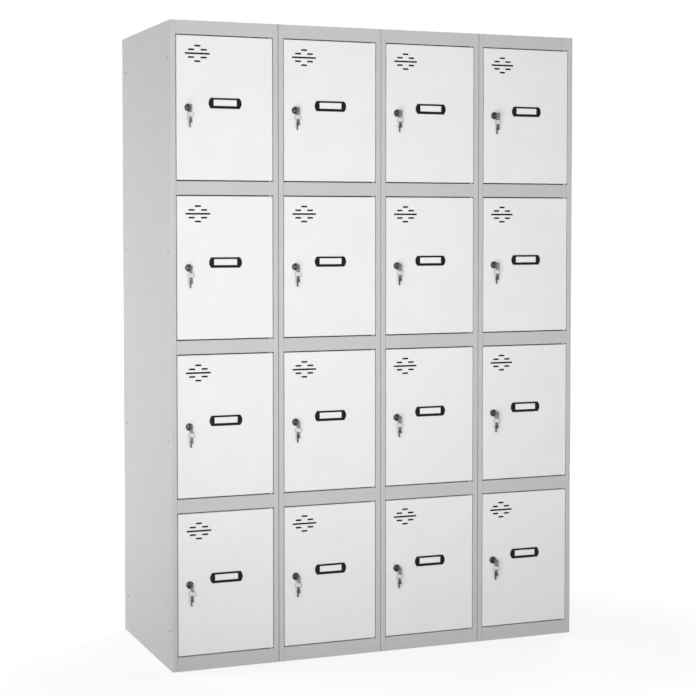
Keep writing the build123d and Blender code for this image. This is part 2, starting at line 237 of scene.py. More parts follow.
def paint_joint_shade(tree, colour):
    """The colour, with painted shade in the joints between the modules but not on the outer walls.
    """
    place = add_node(tree, "ShaderNodeTexCoord")
    parts = add_node(tree, "ShaderNodeSeparateXYZ")
    away = add_node(tree, "ShaderNodeMath", operation="PINGPONG")
    away.inputs[1].default_value = MODULE / 2
    level = add_node(tree, "ShaderNodeMapRange")
    level.inputs["From Min"].default_value = JOINT_EDGE / 2
    level.inputs["From Max"].default_value = JOINT_EDGE
    level.inputs["To Min"].default_value = JOINT_PAINTED_SHADE
    reach = add_node(tree, "ShaderNodeMath", operation="ABSOLUTE")
    outside = add_node(tree, "ShaderNodeMath", operation="GREATER_THAN")
    outside.inputs[1].default_value = MODULE * 1.5
    either = add_node(tree, "ShaderNodeMath", operation="MAXIMUM")
    shaded = add_node(tree, "ShaderNodeVectorMath", operation="SCALE")
    tree.links.new(place.outputs["Object"], parts.inputs["Vector"])
    tree.links.new(parts.outputs["X"], away.inputs[0])
    tree.links.new(away.outputs["Value"], level.inputs["Value"])
    tree.links.new(parts.outputs["X"], reach.inputs[0])
    tree.links.new(reach.outputs["Value"], outside.inputs[0])
    tree.links.new(level.outputs["Result"], either.inputs[0])
    tree.links.new(outside.outputs["Value"], either.inputs[1])
    tree.links.new(colour, shaded.inputs[0])
    tree.links.new(either.outputs["Value"], shaded.inputs["Scale"])
    return shaded.outputs["Vector"]


def powder_coat(name, colour, roughness):
    """A baked powder coat of that colour."""
    material, tree, shader = new_finish(name)
    dark, light = shades(colour, MOTTLE_SPREAD)
    mottle = tint(tree, noise(tree, MOTTLE_MM, detail=5), dark, light)
    # The base colour has painted shade in the joints between the modules.
    tree.links.new(paint_joint_shade(tree, mottle), shader.inputs["Base Color"])
    patches = noise(tree, GLOSS_MM, detail=4)
    gloss = remap(tree, patches, roughness - GLOSS_SWING, roughness + GLOSS_SWING)
    tree.links.new(gloss, shader.inputs["Roughness"])
    wave = bump(tree, noise(tree, SHEET_WAVE_MM, detail=1), SHEET_WAVE_HEIGHT_MM)
    peel = bump(tree, noise(tree, PEEL_MM, detail=2), PEEL_HEIGHT_MM, below=wave)
    tree.links.new(peel, shader.inputs["Normal"])
    return material


BODY_GREY = (0.545, 0.545, 0.545)
DOOR_WHITE = (0.84, 0.84, 0.84)

body_coat = powder_coat("grey_powder_coat", BODY_GREY, roughness=0.46)
door_coat = powder_coat("white_powder_coat", DOOR_WHITE, roughness=0.42)
print("body", BODY_GREY, "doors", DOOR_WHITE)

# %% [markdown]
# ## Plastic, card and metals
#
# The label holder is moulded in black plastic with a fine spark-eroded grain, its card is plain
# white board, and the rubber pads are matt. The lock's case and plug are dark nickel, the key is
# brighter nickel with fine scratches along its length, and its ring and the spare key are worn
# duller. The cam, its screw and the nut behind the door are zinc plated, which has a mottled,
# slightly bluish bloom.

# %% Moulded and plated finishes
BLOTCH_MM = 7
SHEEN_MM = 3
SHEEN_SWING = 0.05
TARNISH_MM = 2.5
SCRATCH_MM = 0.35
SCRATCH_HEIGHT_MM = 0.004
SCRATCH_POLISH = 0.07
SCRATCH_DULLING = 0.09


def moulded(name, colour, spread, roughness, grain_mm, grain_height_mm, mirror_level=0.5):
    """A moulded plastic, rubber or board with a fine grain."""
    material, tree, shader = new_finish(name)
    shader.inputs["Specular IOR Level"].default_value = mirror_level
    dark, light = shades(colour, spread)
    blotches = tint(tree, noise(tree, BLOTCH_MM, detail=3), dark, light)
    tree.links.new(blotches, shader.inputs["Base Color"])
    patches = noise(tree, SHEEN_MM, detail=3)
    gloss = remap(tree, patches, roughness - SHEEN_SWING, roughness + SHEEN_SWING)
    tree.links.new(gloss, shader.inputs["Roughness"])
    grain = bump(tree, noise(tree, grain_mm), grain_height_mm)
    tree.links.new(grain, shader.inputs["Normal"])
    return material


def plated(name, colour, roughness, spread, stretch=(1, 1, 1)):
    """A plated metal with fine scratches, drawn out where the stretch is less than one."""
    material, tree, shader = new_finish(name)
    shader.inputs["Metallic"].default_value = 1.0
    dark, light = shades(colour, spread)
    tarnish = tint(tree, noise(tree, TARNISH_MM, detail=4), dark, light)
    tree.links.new(tarnish, shader.inputs["Base Color"])
    scratch = noise(tree, SCRATCH_MM, detail=3, stretch=stretch)
    gloss = remap(tree, scratch, roughness - SCRATCH_POLISH, roughness + SCRATCH_DULLING)
    tree.links.new(gloss, shader.inputs["Roughness"])
    tree.links.new(bump(tree, scratch, SCRATCH_HEIGHT_MM), shader.inputs["Normal"])
    return material


# %% The small pieces' finishes
HOLDER_BLACK = (0.007, 0.007, 0.007)
RUBBER_BLACK = (0.02, 0.02, 0.02)
CARD_WHITE = (0.88, 0.88, 0.87)
LOCK_NICKEL = (0.05, 0.051, 0.05)
KEY_NICKEL = (0.26, 0.26, 0.255)
WORN_NICKEL = (0.13, 0.13, 0.127)
ZINC_BLUE = (0.52, 0.54, 0.56)
DRAWN_OUT = 0.12

holder_plastic = moulded(
    "black_moulded_plastic",
    HOLDER_BLACK,
    spread=0.15,
    roughness=0.30,
    grain_mm=0.5,
    grain_height_mm=0.01,
    mirror_level=0.12,
)
pad_rubber = moulded(
    "black_rubber",
    RUBBER_BLACK,
    spread=0.15,
    roughness=0.75,
    grain_mm=0.8,
    grain_height_mm=0.02,
)
card_board = moulded(
    "white_card",
    CARD_WHITE,
    spread=0.012,
    roughness=0.80,
    grain_mm=0.6,
    grain_height_mm=0.01,
)
along_key = (1, DRAWN_OUT, 1)
along_spare = (1, 1, DRAWN_OUT)
dark_nickel = plated("dark_nickel", LOCK_NICKEL, roughness=0.30, spread=0.2)
key_nickel = plated("key_nickel", KEY_NICKEL, roughness=0.30, spread=0.2, stretch=along_key)
worn_nickel = plated("worn_nickel", WORN_NICKEL, roughness=0.33, spread=0.3, stretch=along_spare)
zinc = plated("zinc_plate", ZINC_BLUE, roughness=0.38, spread=0.12)
print("finishes", len(bpy.data.materials))

# %% [markdown]
# ## Painting the steelwork
#
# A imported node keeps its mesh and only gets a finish. The doors, with their lips, stiffening
# channels and pivot pins, are off-white, and everything else of the body is grey.

# %% Paint the carcass and the doors
for name, node in frame["nodes"].items():
    node.data.materials.clear()
    node.data.materials.append(door_coat if name.startswith("door_") else body_coat)
print("painted", len(frame["nodes"]), "nodes")

# %% [markdown]
# ## Floor, backdrop and light
#
# A plain pale studio. The floor is a large sheet. Where the camera, or a mirror-like surface,
# looks at it directly it is lifted towards white: fully in the distance, so that it runs into
# the white backdrop with no horizon, and a little less near the cabinet, so that the cabinet's
# soft shadow shows on it. The world gives a pale light from all round, and four softboxes do
# the rest. The front one stands left of the line along which the flat fronts of the doors'
# fittings would mirror it into the lens, because black plastic and dark metal then stay dark.
# The back one stays lower than the cabinet, so that the top doesn't mirror it, and the top one
# hangs behind the plane of the doors, so that it doesn't light them.

# %% Floor and backdrop
FLOOR_SIZE = 60.0
FLOOR_COLOUR = (0.4, 0.4, 0.4, 1)
FLOOR_ROUGHNESS = 0.9
WHITE = (1, 1, 1, 1)
NEAR_LIFT = 0.7
NEAR_REACH = 1.0
FAR_REACH = 2.5

bpy.ops.object.select_all(action="DESELECT")
bpy.ops.mesh.primitive_plane_add(size=FLOOR_SIZE, location=(0, 0, 0))
floor = bpy.context.object
floor.name = "floor"
floor_finish, tree, shader = new_finish("pale_floor")
shader.inputs["Base Color"].default_value = FLOOR_COLOUR
shader.inputs["Roughness"].default_value = FLOOR_ROUGHNESS
shader.inputs["Specular IOR Level"].default_value = 0.0
shader.inputs["Emission Color"].default_value = WHITE
lift = add_node(tree, "ShaderNodeMath", operation="MULTIPLY")
place = add_node(tree, "ShaderNodeTexCoord")
distance = add_node(tree, "ShaderNodeVectorMath", operation="LENGTH")
fade = add_node(tree, "ShaderNodeMapRange")
fade.inputs["From Min"].default_value = NEAR_REACH
fade.inputs["From Max"].default_value = FAR_REACH
fade.inputs["To Min"].default_value = NEAR_LIFT
tree.links.new(seen_directly(tree), lift.inputs[0])
tree.links.new(place.outputs["Object"], distance.inputs[0])
tree.links.new(distance.outputs["Value"], fade.inputs["Value"])
tree.links.new(fade.outputs["Result"], lift.inputs[1])
tree.links.new(lift.outputs["Value"], shader.inputs["Emission Strength"])
floor.data.materials.append(floor_finish)
print("floor", FLOOR_SIZE, "m")

# %% World and softboxes
WORLD_STRENGTH = 0.22

world = bpy.data.worlds.new("studio")
bpy.context.scene.world = world
world.use_nodes = True
tree = world.node_tree
backdrop = tree.nodes["Background"]
backdrop.inputs["Color"].default_value = WHITE
level = add_node(tree, "ShaderNodeMapRange")
level.inputs["To Min"].default_value = WORLD_STRENGTH
level.inputs["To Max"].default_value = 1.0
tree.links.new(seen_directly(tree), level.inputs["Value"])
tree.links.new(level.outputs["Result"], backdrop.inputs["Strength"])


def softbox(name, place, target, size, power):
    """A square area light at a place, facing a target."""
    data = bpy.data.lights.new(name, "AREA")
    data.size = size
    data.energy = power
    lamp = bpy.data.objects.new(name, data)
    lamp.location = place
    lamp.visible_camera = False
    lamp.rotation_euler = (Vector(target) - Vector(place)).to_track_quat("-Z", "Y").to_euler()
    bpy.context.scene.collection.objects.link(lamp)


softbox("front_light", place=(-0.87, -3.0, 1.04), target=(2.56, -0.27, 2.8), size=2.0, power=90)
softbox("side_light", place=(-2.75, 1.1, 0.89), target=(-0.62, 0.1, 1.0), size=1.6, power=43)
softbox("back_light", place=(2.8, 2.5, 0.92), target=(0.3, 0.2, 0.9), size=1.7, power=95)
softbox("top_light", place=(0.0, 0.8, 3.8), target=(0.0, 0.3, 1.8), size=1.0, power=24)

# %% [markdown]
# ## Modelling helpers
#
# An edit-mode operator acts on whatever is selected, so each step first says which faces, edges
# or corners it means, by where they are. The helpers pick them with a test on their middle and
# their direction, and finish a piece with its place held in its mesh. A direction is a unit
# vector, so one of its parts says how nearly it lies along that axis.

# %% Starting a piece and selecting parts of it
TINY = 1e-5
ABOUT = 0.001
ALONG = 0.9
SQUARE_ON = 0.99
ACROSS = 0.1
ALONG_Y = (math.pi / 2, 0, 0)


def begin(add_primitive, stretch, place, **settings):
    """A primitive stretched to a size at a place, with both in its mesh, ready in edit mode."""
    bpy.ops.object.select_all(action="DESELECT")
    add_primitive(location=place, **settings)
    piece = bpy.context.object
    piece.scale = stretch
    bpy.ops.object.transform_apply(location=True, rotation=True, scale=True)
    bpy.ops.object.mode_set(mode="EDIT")
    return piece


def begin_bar(place, sides, radius, length):
    """A round bar, or a prism, along the lock's axis and with its middle at a place."""
    return begin(
        bpy.ops.mesh.primitive_cylinder_add,
        (1, 1, 1),
        place,
        vertices=sides,
        radius=radius,
        depth=length,
        rotation=ALONG_Y,
    )


def pick(piece, kind, test):
    """Select only the faces, edges or verts that pass a test on their middle and direction."""
    bpy.ops.mesh.select_mode(type={"faces": "FACE", "edges": "EDGE", "verts": "VERT"}[kind])
    bpy.ops.mesh.select_all(action="DESELECT")
    shape = bmesh.from_edit_mesh(piece.data)
    for part in getattr(shape, kind):
        if kind == "faces":
            part.select_set(bool(test(part.calc_center_median(), part.normal)))
        elif kind == "edges":
            start, end = (corner.co for corner in part.verts)
            part.select_set(bool(test((start + end) / 2, (end - start).normalized())))
        else:
            part.select_set(bool(test(part.co, part.normal)))
    shape.select_flush_mode()
    bmesh.update_edit_mesh(piece.data)


def near(value, target, reach=TINY):
    """Whether a value is at a target, within reach."""
    return abs(value - target) < reach


# %% Shaping and finishing a piece
EASE = 0.0002
SHARP = 60
CUTTER_LENGTH = 0.02


def push(x=0.0, y=0.0, z=0.0):
    """Extrude what is selected by that much."""
    bpy.ops.mesh.extrude_region_move(TRANSFORM_OT_translate={"value": (x, y, z)})


def round_edges(width, steps=2):
    """Round the selected edges."""
    bpy.ops.mesh.bevel(offset=width, segments=steps, profile=0.5, affect="EDGES")


def ease_sharp_edges():
    """Ease every sharp edge of the piece."""
    bpy.ops.mesh.select_mode(type="EDGE")
    bpy.ops.mesh.select_all(action="DESELECT")
    bpy.ops.mesh.edges_select_sharp(sharpness=math.radians(SHARP))
    round_edges(EASE, steps=1)


def cut(piece, add_primitive, **settings):
    """Take a primitive's shape out of a piece."""
    bpy.ops.object.mode_set(mode="OBJECT")
    bpy.ops.object.select_all(action="DESELECT")
    add_primitive(**settings)
    cutter = bpy.context.object
    bpy.ops.object.select_all(action="DESELECT")
    bpy.context.view_layer.objects.active = piece
    piece.select_set(True)
    taking = piece.modifiers.new("cut", "BOOLEAN")
    taking.operation = "DIFFERENCE"
    taking.object = cutter
    bpy.ops.object.modifier_apply(modifier=taking.name)
    bpy.data.objects.remove(cutter)
    bpy.ops.object.mode_set(mode="EDIT")


def finish_piece(piece, name, finish, smooth_angle=35):
    """Merge doubles, turn the faces outwards, leave edit mode and give the piece its finish."""
    bpy.ops.mesh.select_all(action="SELECT")
    bpy.ops.mesh.remove_doubles(threshold=TINY)
    bpy.ops.mesh.normals_make_consistent(inside=False)
    bpy.ops.object.mode_set(mode="OBJECT")
    piece.name = name
    piece.data.materials.clear()
    piece.data.materials.append(finish)
    bpy.ops.object.shade_smooth_by_angle(angle=math.radians(smooth_angle))
    print(name, len(piece.data.polygons), "faces")
    return piece


# %% [markdown]
# ## The label holder
#
# A moulded black frame, held to the door by its own clips, with a window for the card and ends
# that bow outwards. It could be cut from a block, but it is easier to draw its face as a flat
# sheet of nine panels, take the middle one out for the card's pocket, bow the two end edges,
# and then give the sheet its thickness. Part of the way forward the opening is drawn in to the
# window's size, which leaves the ledge that holds the card.

# %% Label holder: its face
LABEL_DROP = 0.184
LABEL_WIDTH = 0.083
LABEL_HEIGHT = 0.029
LABEL_BULGE = 0.006
LABEL_THICK = 0.0032
WINDOW_WIDTH = 0.067
WINDOW_HEIGHT = 0.0168
WINDOW_RISE = 0.0012
POCKET_MARGIN = 0.002
POCKET_DEPTH = 0.001
INNER_SHARE = 0.95
END_CUTS = 3
LABEL_Z = DOOR_TOP - LABEL_DROP
WINDOW_Z = LABEL_Z + WINDOW_RISE


def in_label_middle(place):
    """Whether a point is off the holder's outer edge."""
    across = abs(place.x - DOOR_MIDDLE_X) < INNER_SHARE * LABEL_WIDTH / 2
    return across and abs(place.z - LABEL_Z) < INNER_SHARE * LABEL_HEIGHT / 2


def at_label_edge(place, edge):
    """Whether a point is on a level line of the holder, off its outer edge."""
    return near(place.z, edge) and in_label_middle(place)


def draw_label_face():
    """The holder's face as a flat sheet of panels round the card's pocket, with straight ends."""
    piece = begin(
        bpy.ops.mesh.primitive_grid_add,
        (LABEL_WIDTH, LABEL_HEIGHT, 1),
        (DOOR_MIDDLE_X, FACE_Y, LABEL_Z),
        size=1,
        x_subdivisions=3,
        y_subdivisions=3,
        rotation=ALONG_Y,
    )
    for side in (-1, 1):
        line = DOOR_MIDDLE_X + side * LABEL_WIDTH / 6
        edge = DOOR_MIDDLE_X + side * (WINDOW_WIDTH / 2 + POCKET_MARGIN)
        pick(piece, "verts", lambda place, _: near(place.x, line))
        bpy.ops.transform.translate(value=(edge - line, 0, 0))
        line = LABEL_Z + side * LABEL_HEIGHT / 6
        edge = WINDOW_Z + side * (WINDOW_HEIGHT / 2 + POCKET_MARGIN)
        pick(piece, "verts", lambda place, _: at_label_edge(place, line))
        bpy.ops.transform.translate(value=(0, 0, edge - line))
    middle = Vector((DOOR_MIDDLE_X, FACE_Y, WINDOW_Z))
    pick(piece, "faces", lambda place, _: (place - middle).length < POCKET_MARGIN)
    bpy.ops.mesh.delete(type="FACE")
    return piece


def bow_label_ends(piece):
    """Divide the upright edges and pull each end edge outwards, most in the middle."""
    pick(piece, "edges", lambda _, way: abs(way.z) > ALONG)
    bpy.ops.mesh.subdivide(number_cuts=END_CUTS)
    for side in (-1, 1):
        end = DOOR_MIDDLE_X + side * LABEL_WIDTH / 2
        pick(piece, "verts", lambda place, _: near(place.x, end))
        bpy.ops.mesh.hide(unselected=True)
        pick(piece, "verts", lambda place, _: near(place.x, end) and near(place.z, LABEL_Z))
        bpy.ops.transform.translate(
            value=(side * LABEL_BULGE, 0, 0),
            use_proportional_edit=True,
            proportional_edit_falloff="INVERSE_SQUARE",
            proportional_size=LABEL_HEIGHT / 2,
        )
        bpy.ops.mesh.reveal(select=False)


label = draw_label_face()
bow_label_ends(label)
print("label face", len(bmesh.from_edit_mesh(label.data).faces), "panels")

# %% Label holder: its thickness
LEDGE_STEP = 0.0001


def thicken_label(piece):
    """Give the face its thickness, drawing the opening in to the window's size on the way."""
    bpy.ops.mesh.select_all(action="SELECT")
    push(y=-POCKET_DEPTH)
    push(y=-LEDGE_STEP)
    ledge = FACE_Y - POCKET_DEPTH - LEDGE_STEP
    for side in (-1, 1):
        edge = DOOR_MIDDLE_X + side * (WINDOW_WIDTH / 2 + POCKET_MARGIN)
        pick(piece, "verts", lambda place, _: near(place.y, ledge) and near(place.x, edge))
        bpy.ops.transform.translate(value=(-side * POCKET_MARGIN, 0, 0))
        edge = WINDOW_Z + side * (WINDOW_HEIGHT / 2 + POCKET_MARGIN)
        pick(piece, "verts", lambda place, _: near(place.y, ledge) and at_label_edge(place, edge))
        bpy.ops.transform.translate(value=(0, 0, -side * POCKET_MARGIN))
    pick(piece, "faces", lambda place, way: near(place.y, ledge) and abs(way.y) > ALONG)
    push(y=-(LABEL_THICK - POCKET_DEPTH - LEDGE_STEP))


thicken_label(label)

# %% [markdown]
# The outer edge of the moulding is broadly rounded and the window's edge finely. Inside each
# bowed end the face is sunk a little, so that a raised crescent is left along the edge.

# %% Label holder: sunk ends and rounded edges
END_RIM = 0.0018
END_SINK = 0.0007
OUTER_ROUND = 0.0011
WINDOW_ROUND = 0.0004
OUTLINE_PLAY = 0.0004
BOWED = 0.6


def sink_label_ends(piece):
    """Sink the face inside each end, leaving a rim."""
    front = FACE_Y - LABEL_THICK
    for side in (-1, 1):
        edge = DOOR_MIDDLE_X + side * WINDOW_WIDTH / 2
        pick(
            piece,
            "faces",
            lambda place, _: near(place.y, front) and (place.x - edge) * side > TINY,
        )
        bpy.ops.mesh.inset(thickness=END_RIM, depth=0)
        push(y=END_SINK)


def bow_reach(height):
    """How far the bowed ends reach from the holder's middle at a height."""
    return LABEL_WIDTH / 2 + LABEL_BULGE * (1 - (2 * (height - LABEL_Z) / LABEL_HEIGHT) ** 2)


def round_label_edges(piece):
    """Round the front edges: the outer one broadly, the window's finely."""
    front = FACE_Y - LABEL_THICK

    def on_outline(place, way):
        out = abs(place.x - DOOR_MIDDLE_X)
        on_end = abs(way.z) > BOWED and near(out, bow_reach(place.z), OUTLINE_PLAY)
        on_bar = abs(way.x) > ALONG and near(abs(place.z - LABEL_Z), LABEL_HEIGHT / 2)
        return near(place.y, front) and (on_end or on_bar)

    def on_window(place, way):
        out = abs(place.x - DOOR_MIDDLE_X)
        up = abs(place.z - WINDOW_Z)
        on_side = abs(way.z) > ALONG and near(out, WINDOW_WIDTH / 2) and up < WINDOW_HEIGHT / 2
        on_bar = abs(way.x) > ALONG and near(up, WINDOW_HEIGHT / 2) and out < WINDOW_WIDTH / 2
        return near(place.y, front) and (on_side or on_bar)

    pick(piece, "edges", on_outline)
    round_edges(OUTER_ROUND, steps=3)
    pick(piece, "edges", on_window)
    round_edges(WINDOW_ROUND)


sink_label_ends(label)
round_label_edges(label)
label_frame = finish_piece(label, "label_frame", holder_plastic)

# %% [markdown]
# ## The card
#
# A plain white card with rounded corners lies in the holder's pocket. It is left blank.

# %% Card
CARD_PLAY = 0.0001
CARD_THICK = 0.0004
CARD_CORNER = 0.0015


def model_card():
    """The card, a thin plate with rounded corners."""
    piece = begin(
        bpy.ops.mesh.primitive_cube_add,
        (
            WINDOW_WIDTH + 2 * POCKET_MARGIN - 2 * CARD_PLAY,
            CARD_THICK,
            WINDOW_HEIGHT + 2 * POCKET_MARGIN - 2 * CARD_PLAY,
        ),
        (DOOR_MIDDLE_X, FACE_Y - POCKET_DEPTH + CARD_THICK / 2, WINDOW_Z),
        size=1,
    )
    pick(piece, "edges", lambda _, way: abs(way.y) > ALONG)
    round_edges(CARD_CORNER, steps=4)
    return finish_piece(piece, "card", card_board)


card = model_card()

# %% [markdown]
# ## The lock's case
#
# The case of a cam lock is one die casting: a collar in front of the door and a threaded barrel
# through it. It is round everywhere, so it is turned: half of its section is drawn as a flat
# sheet beside the axis, and spun round it. The section starts as the barrel's wall, is divided
# where it passes the door's face, and the collar is pulled out of its front part. Zigzag points
# along the outside of the rear part become the thread.

# %% Lock case: its section
COLLAR_RADIUS = 0.0104
COLLAR_FRONT = 0.0055
COLLAR_ROUND = 0.0016
BARREL_RADIUS = 0.0079
BARREL_REACH = 0.0182
BORE_RADIUS = 0.0061
THREAD_CUTS = 21
THREAD_DEPTH = 0.0005
TURN_STEPS = 48
LOCK_AXIS = Vector((LOCK_X, FACE_Y, LOCK_Z))


def draw_case_section():
    """Half of the case's section as a flat sheet: the barrel's wall with the collar beside it."""
    outside = LOCK_X + BARREL_RADIUS
    rim = Vector((LOCK_X + COLLAR_RADIUS, FACE_Y - COLLAR_FRONT, LOCK_Z))
    wall_middle = (BARREL_RADIUS + BORE_RADIUS) / 2
    wall_centre = LOCK_AXIS + Vector((wall_middle, (BARREL_REACH - COLLAR_FRONT) / 2, 0))
    piece = begin(
        bpy.ops.mesh.primitive_plane_add,
        (BARREL_RADIUS - BORE_RADIUS, COLLAR_FRONT + BARREL_REACH, 1),
        wall_centre,
        size=1,
    )
    bpy.ops.mesh.bisect(plane_co=LOCK_AXIS, plane_no=(0, 1, 0))
    pick(piece, "edges", lambda place, _: near(place.x, outside) and place.y < FACE_Y)
    push(x=COLLAR_RADIUS - BARREL_RADIUS)
    pick(piece, "verts", lambda place, _: (place - rim).length < TINY)
    bpy.ops.mesh.bevel(offset=COLLAR_ROUND, segments=4, affect="VERTICES")
    return piece


def cut_thread(piece):
    """Divide the section's outer rear edge and draw every other point in."""
    outside = LOCK_X + BARREL_RADIUS
    pick(piece, "edges", lambda place, _: near(place.x, outside) and place.y > FACE_Y)
    bpy.ops.mesh.subdivide(number_cuts=THREAD_CUTS)
    pitch = BARREL_REACH / (THREAD_CUTS + 1)

    def is_root(place, _):
        step = (place.y - FACE_Y) / pitch
        return near(place.x, outside) and round(step) % 2 == 1 and place.y > FACE_Y

    pick(piece, "verts", is_root)
    bpy.ops.transform.translate(value=(-THREAD_DEPTH, 0, 0))


def spin_section(piece):
    """Spin a flat section's outline round the lock's axis into a closed shape."""
    bpy.ops.mesh.select_mode(type="FACE")
    bpy.ops.mesh.select_all(action="SELECT")
    bpy.ops.mesh.dissolve_faces()
    bpy.ops.mesh.select_all(action="SELECT")
    bpy.ops.mesh.delete(type="ONLY_FACE")
    bpy.ops.mesh.select_mode(type="EDGE")
    bpy.ops.mesh.select_all(action="SELECT")
    bpy.ops.mesh.spin(steps=TURN_STEPS, angle=2 * math.pi, center=LOCK_AXIS, axis=(0, 1, 0))


case = draw_case_section()
cut_thread(case)
spin_section(case)
lock_case = finish_piece(case, "lock_case", dark_nickel)

# %% [markdown]
# ## The lock's nut
#
# A zinc plated hexagon nut with a flange clamps the case against the back of the door skin.

# %% Lock nut
SKIN = 0.001
NUT_RADIUS = 0.0122
NUT_THICK = 0.0036
FLANGE_INSET = 0.0012
FLANGE_THICK = 0.0008
NUT_ROUND = 0.0005


def model_nut():
    """The nut, a bored hexagon with a round flange towards the door skin."""
    middle = (LOCK_X, FACE_Y + SKIN + FLANGE_THICK + NUT_THICK / 2, LOCK_Z)
    piece = begin_bar(middle, sides=6, radius=NUT_RADIUS, length=NUT_THICK)
    pick(piece, "edges", lambda _, way: abs(way.y) < ACROSS)
    round_edges(NUT_ROUND)
    pick(piece, "faces", lambda _, way: way.y < -SQUARE_ON)
    bpy.ops.mesh.inset(thickness=FLANGE_INSET, depth=0)
    push(y=-FLANGE_THICK)
    cut(
        piece,
        bpy.ops.mesh.primitive_cylinder_add,
        vertices=TURN_STEPS,
        radius=BARREL_RADIUS,
        depth=CUTTER_LENGTH,
        location=LOCK_AXIS,
        rotation=ALONG_Y,
    )
    return finish_piece(piece, "lock_nut", zinc)


lock_nut = model_nut()

# %% [markdown]
# ## The rubber pads
#
# Two small pads are stuck to the back of the door's lip, where it meets the strike flange, so
# that the door shuts quietly. Each is a low block with rounded sides and a slightly domed face.

# %% Pads
PAD_SIZE = (0.007, 0.0018, 0.012)
PAD_INSET = 0.003
PAD_END = 0.040
PAD_ROUND = 0.002
PAD_SINK = 0.0005
PAD_DOME = ((0.0006, 0.0003), (0.0008, 0.0002))
DOOR_DEPTH = 0.015


def model_pads():
    """One pad, rounded and domed, and its twin at the door's other end."""
    piece = begin(
        bpy.ops.mesh.primitive_cube_add,
        PAD_SIZE,
        (
            door_low.x + PAD_INSET + PAD_SIZE[0] / 2,
            FACE_Y + DOOR_DEPTH + PAD_SIZE[1] / 2,
            DOOR_BOTTOM + PAD_END,
        ),
        size=1,
    )
    pick(piece, "edges", lambda _, way: abs(way.y) > ALONG)
    round_edges(PAD_ROUND, steps=4)
    pick(piece, "faces", lambda _, way: way.y > ALONG)
    bpy.ops.transform.translate(value=(0, -PAD_SINK, 0))
    for rim, rise in PAD_DOME:
        bpy.ops.mesh.inset(thickness=rim, depth=0)
        bpy.ops.transform.translate(value=(0, rise, 0))
    bpy.ops.mesh.select_all(action="SELECT")
    apart = DOOR_TOP - DOOR_BOTTOM - 2 * PAD_END
    bpy.ops.mesh.duplicate_move(TRANSFORM_OT_translate={"value": (0, 0, apart)})
    return finish_piece(piece, "door_pads", pad_rubber)


door_pads = model_pads()

# %% [markdown]
# ## The plug and cam
#
# The plug turns in the case. It is a turned bar with a keyway milled down its middle, so it
# starts as a cylinder whose front rim is bevelled, and a block the size of the keyway is taken
# out of it. The cam is a stamped plate with rounded ends that swings behind the strike flange,
# held by a hexagon screw on the plug's rear end.

# %% Plug
PLUG_RADIUS = 0.0059
CAM_FRONT = 0.019
KEYWAY = (0.0024, 0.030, 0.0075)
PLUG_ROUND = 0.0006


def model_plug():
    """The plug with its bevelled face and its keyway."""
    front = FACE_Y - COLLAR_FRONT
    rear = FACE_Y + CAM_FRONT
    piece = begin_bar((LOCK_X, (front + rear) / 2, LOCK_Z), TURN_STEPS, PLUG_RADIUS, rear - front)
    pick(piece, "edges", lambda place, way: near(place.y, front) and abs(way.y) < ACROSS)
    round_edges(PLUG_ROUND)
    mouth = (LOCK_X, front, LOCK_Z)
    cut(piece, bpy.ops.mesh.primitive_cube_add, size=1, location=mouth, scale=KEYWAY)
    return finish_piece(piece, "lock_plug", dark_nickel)


lock_plug = model_plug()

# %% Cam and its screw
CAM_WIDTH = 0.012
CAM_REACH = 0.036
CAM_THICK = 0.002
CAM_TOP_ROUND = 0.49 * CAM_WIDTH
CAM_TIP_ROUND = 0.004
SCREW_RADIUS = 0.0046
SCREW_HEAD = 0.0025
SCREW_ROUND = 0.0003
SCREW_RIM = 0.001
SCREW_SINK = 0.0005


def model_cam():
    """The cam, a plate that hangs from the axis, with rounded ends and eased edges."""
    piece = begin(
        bpy.ops.mesh.primitive_cube_add,
        (CAM_WIDTH, CAM_THICK, CAM_REACH + CAM_WIDTH / 2),
        (LOCK_X, FACE_Y + CAM_FRONT + CAM_THICK / 2, LOCK_Z + CAM_WIDTH / 4 - CAM_REACH / 2),
        size=1,
    )
    foot = LOCK_Z - CAM_REACH
    pick(piece, "edges", lambda place, way: abs(way.y) > ALONG and place.z > LOCK_Z)
    round_edges(CAM_TOP_ROUND, steps=8)
    pick(piece, "edges", lambda place, way: abs(way.y) > ALONG and near(place.z, foot))
    round_edges(CAM_TIP_ROUND, steps=5)
    pick(piece, "edges", lambda _, way: abs(way.y) < ACROSS)
    round_edges(EASE, steps=1)
    return finish_piece(piece, "cam", zinc)


def model_cam_screw():
    """The hexagon screw that holds the cam, with the middle of its head sunk."""
    middle = (LOCK_X, FACE_Y + CAM_FRONT + CAM_THICK + SCREW_HEAD / 2, LOCK_Z)
    piece = begin_bar(middle, sides=6, radius=SCREW_RADIUS, length=SCREW_HEAD)
    pick(piece, "edges", lambda _, way: abs(way.y) < ACROSS)
    round_edges(SCREW_ROUND)
    pick(piece, "faces", lambda _, way: way.y > SQUARE_ON)
    bpy.ops.mesh.inset(thickness=SCREW_RIM, depth=0)
    push(y=-SCREW_SINK)
    return finish_piece(piece, "cam_screw", zinc)


cam = model_cam()
cam_screw = model_cam_screw()

# %% [markdown]
# ## The keys
#
# A key is stamped from 2 mm strip. The one in the lock stands on edge: a broad bow with rounded
# corners, a coined hollow on each side and a hole near its lower edge, and a blade that goes
# into the plug. The bow's block is divided at the blade's height and the blade is drawn out of
# its rear face, so both are one piece, as on the real key.

